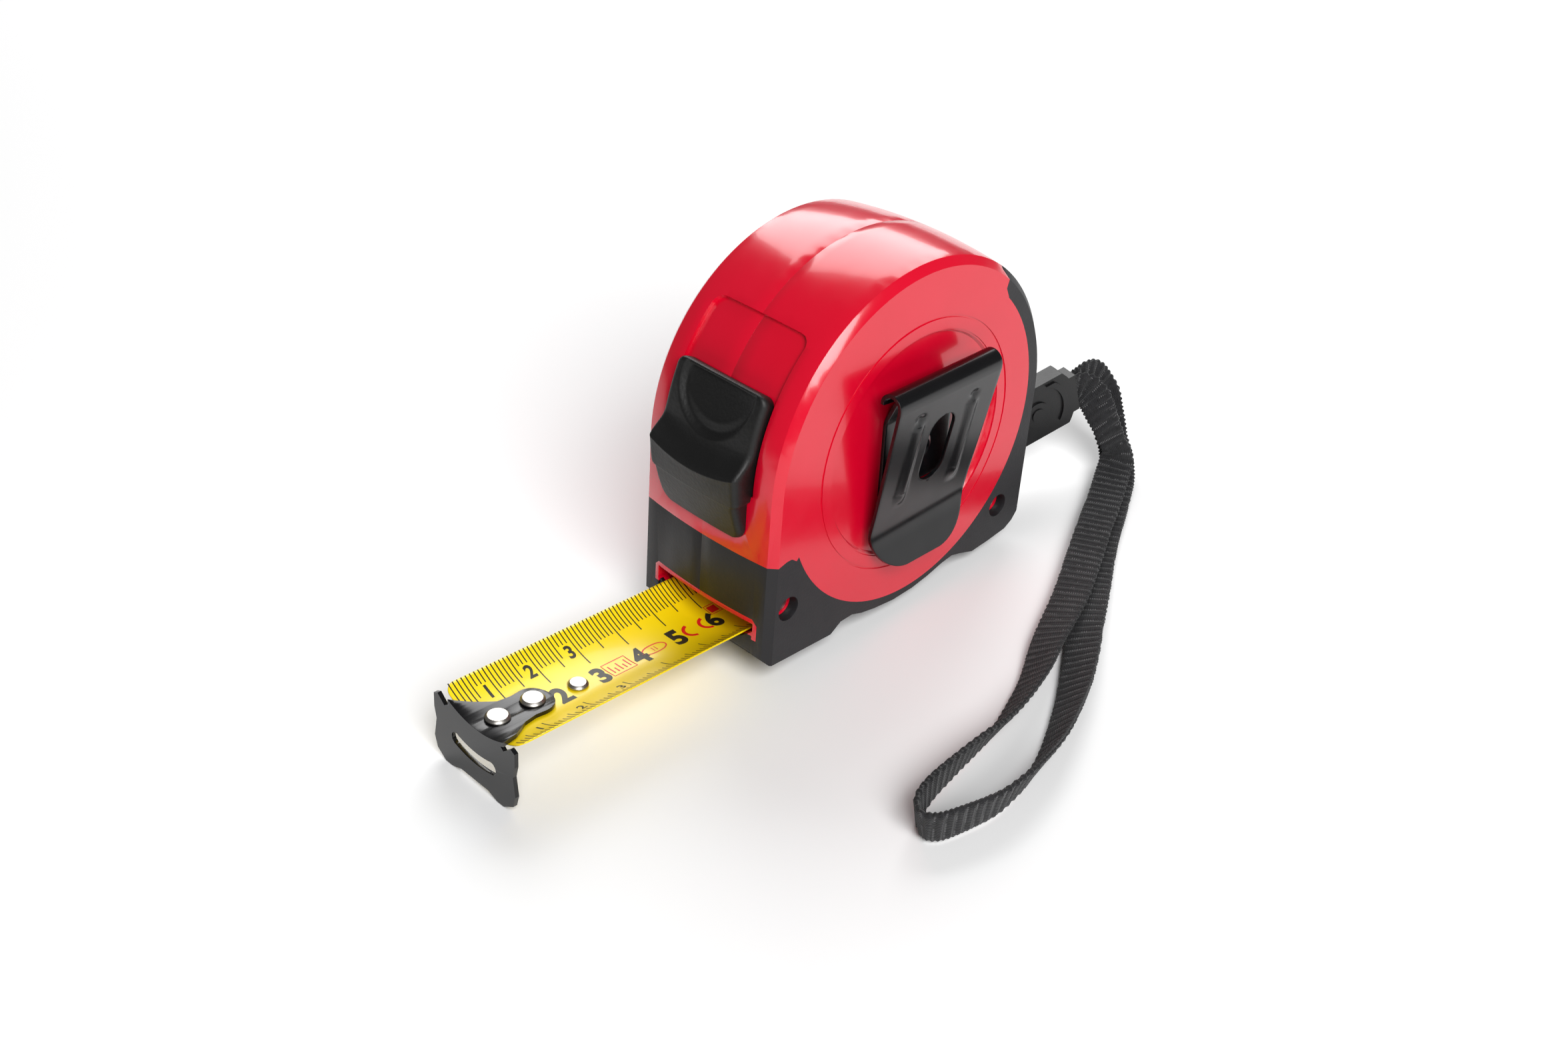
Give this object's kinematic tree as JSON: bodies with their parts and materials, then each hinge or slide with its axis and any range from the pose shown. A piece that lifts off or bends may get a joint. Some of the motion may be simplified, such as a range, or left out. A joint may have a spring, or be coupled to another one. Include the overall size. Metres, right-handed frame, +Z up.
{
  "type": "tape measure",
  "caption": "Retractable tape measure with a hooked curved steel blade drawn out, a red case with black rubber overmould, a thumb lock, a belt clip and a looped wrist strap.",
  "frame": {"origin": "middle of the heel's edge, where the back of the case rests on the floor", "axes": "-X is the way that the blade comes out, +Y is the left side as seen by the hand behind the case, and +Z is up from the floor, on which the heel and the hook stand"},
  "size_m": [0.1826, 0.0964, 0.0816],
  "materials": {
    "shell_red": "gloss",
    "overmould_black": "satin grain",
    "trim_black": "fine grain",
    "enamel_black": "gloss",
    "blade_yellow": "satin lacquer",
    "steel": "satin",
    "brass": "satin",
    "drum_grey": "satin",
    "brake_felt": "matte",
    "webbing": "coarse ribbed weave"
  },
  "bodies": {
    "case": {"case_left": "shell_red", "case_right": "shell_red", "bumper_left": "overmould_black", "bumper_right": "overmould_black", "hook_stop": "trim_black", "case_screws": "steel", "spindle": "steel", "clip_screw": "enamel_black", "lanyard_pin": "steel", "belt_clip": "enamel_black", "drum_washers": "brass", "blade_feed": "blade_yellow"},
    "drum": {"drum": "drum_grey", "drum_cover": "drum_grey", "wound_blade": "blade_yellow", "power_spring": "steel"},
    "blade": {"blade": "blade_yellow", "blade_stiffener": "steel", "blade_rivets": "steel"},
    "hook": {"end_hook": "enamel_black"},
    "lock": {"lock_button": "trim_black", "lock_arm": "trim_black", "brake_pad": "brake_felt"},
    "clip_leaf": {"belt_clip_leaf": "enamel_black"},
    "clasp": {"strap_clasp": "trim_black", "clasp_stud": "steel", "wrist_strap": "webbing"}
  },
  "joints": [
    {"name": "drum_spin", "type": "hinge", "parent": "case", "child": "drum", "pos_m": [-0.02875, 0, 0.04033], "axis": [0, 1, 0], "range_deg": [-103.5, 26]},
    {"name": "blade_slide", "type": "slide", "parent": "case", "child": "blade", "axis": [-0.9966, 0, 0.083], "range_m": [-0.0554, 0.014]},
    {"name": "hook_float", "type": "slide", "parent": "blade", "child": "hook", "axis": [-0.9966, 0, 0.083], "range_m": [-0.0005, 0.0005]},
    {"name": "lock_slide", "type": "hinge", "parent": "case", "child": "lock", "pos_m": [-0.02875, 0, 0.04033], "axis": [0, 1, 0], "range_deg": [0, 12]},
    {"name": "clip_flex", "type": "hinge", "parent": "case", "child": "clip_leaf", "pos_m": [-0.02788, -0.0241, 0.0567], "axis": [-0.9986, 0, 0.0534], "range_deg": [0, 8], "stiffness_Nm_per_rad": 3.5},
    {"name": "strap_swing", "type": "hinge", "parent": "case", "child": "clasp", "pos_m": [0.0056, 0, 0.01298], "axis": [0.083, 0, 0.9966], "range_deg": [-10, 32]}
  ],
  "couplings": [
    {"joint": "blade_slide", "follows": "drum_spin", "m_per_rad": 0.0306}
  ]
}
